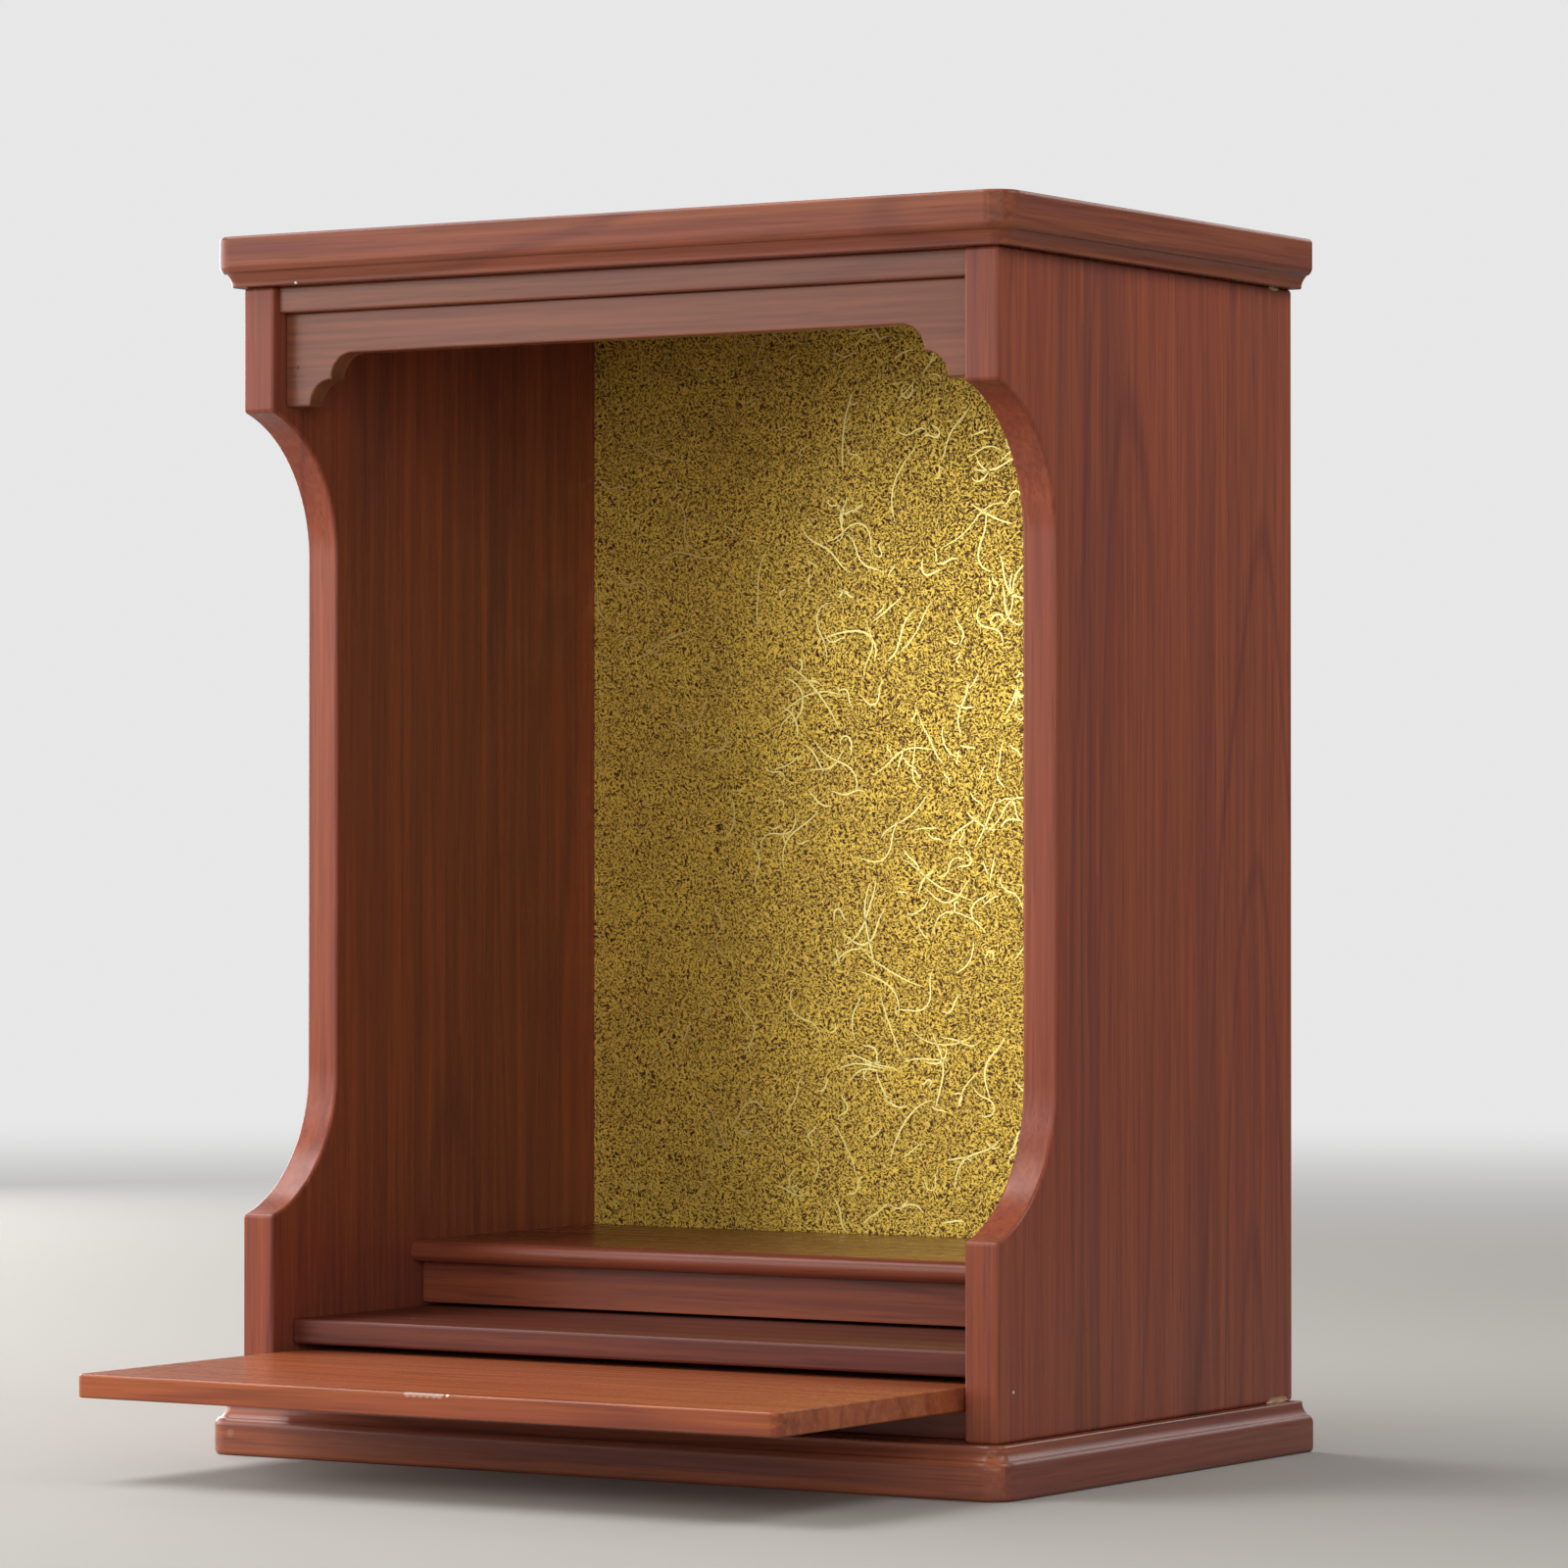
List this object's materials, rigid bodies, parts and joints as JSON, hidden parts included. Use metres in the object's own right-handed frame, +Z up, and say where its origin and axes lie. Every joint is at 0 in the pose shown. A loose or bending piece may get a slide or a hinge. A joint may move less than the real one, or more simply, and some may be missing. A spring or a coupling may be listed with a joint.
{
  "type": "household altar cabinet",
  "caption": "Small open-fronted wooden household altar cabinet with moulded top and base boards, scooped sides, a shaped valance, a stepped dais, a gold-papered back and a pull-out tray",
  "frame": {"origin": "middle of the base board's underside, which is the face it stands on", "axes": "+X to the right as seen from the front, +Y towards the back, +Z up"},
  "size_m": [0.369, 0.359, 0.485],
  "materials": {
    "outer_wood": "red-brown stained wood with a satin lacquer",
    "inner_wood": "darker red-brown stained wood with a satin lacquer",
    "tray_wood": "orange-brown stained wood with a satin lacquer, worn at its edges",
    "back_ply": "plain thin plywood with a brown stain",
    "gold_paper": "crinkled gold-flecked paper with pale fibres"
  },
  "bodies": {
    "cabinet": {"top_board": "outer_wood", "base_board": "outer_wood", "side_panel_left": "outer_wood", "side_panel_right": "outer_wood", "back_panel": "back_ply", "gold_paper": "gold_paper", "header_rail": "outer_wood", "valance": "outer_wood", "floor_shelf": "inner_wood", "dais_riser": "inner_wood", "dais_top": "inner_wood", "bottom_rail": "outer_wood", "tray_runner_left": "inner_wood", "tray_runner_right": "inner_wood"},
    "tray": {"tray": "tray_wood"}
  },
  "joints": [
    {"name": "tray_slide", "type": "slide", "parent": "cabinet", "child": "tray", "axis": [0, 1, 0], "range_m": [0, 0.135]}
  ]
}
